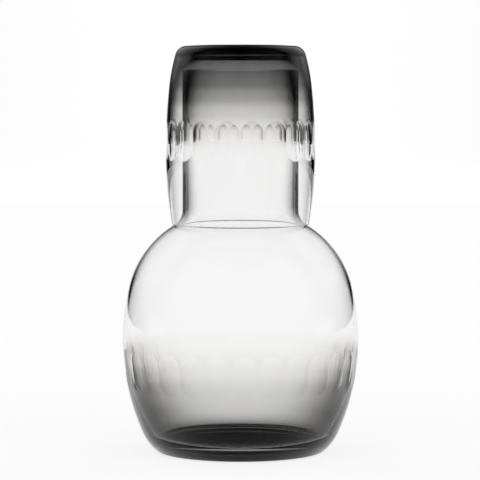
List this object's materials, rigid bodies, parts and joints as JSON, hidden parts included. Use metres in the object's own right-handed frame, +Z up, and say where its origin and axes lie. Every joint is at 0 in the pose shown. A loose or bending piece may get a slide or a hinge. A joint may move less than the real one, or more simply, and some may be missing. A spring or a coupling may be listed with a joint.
{
  "type": "bedside carafe with tumbler",
  "caption": "Round-bodied smoke-grey cut-glass bedside carafe with its tumbler standing upside down over the neck as a cover.",
  "frame": {"origin": "centre of the carafe's flat foot, on the surface it stands on", "axes": "+Z up along the axis that both pieces share; the picture looks along +Y, a little from above"},
  "size_m": [0.12, 0.12, 0.207],
  "materials": {
    "carafe_glass": "polished",
    "tumbler_glass": "polished"
  },
  "bodies": {
    "carafe": {"carafe": "carafe_glass"},
    "tumbler": {"tumbler": "tumbler_glass"}
  },
  "joints": [
    {"name": "tumbler_lift", "type": "slide", "parent": "carafe", "child": "tumbler", "axis": [0, 0, 1], "range_m": [0, 0.1]}
  ]
}
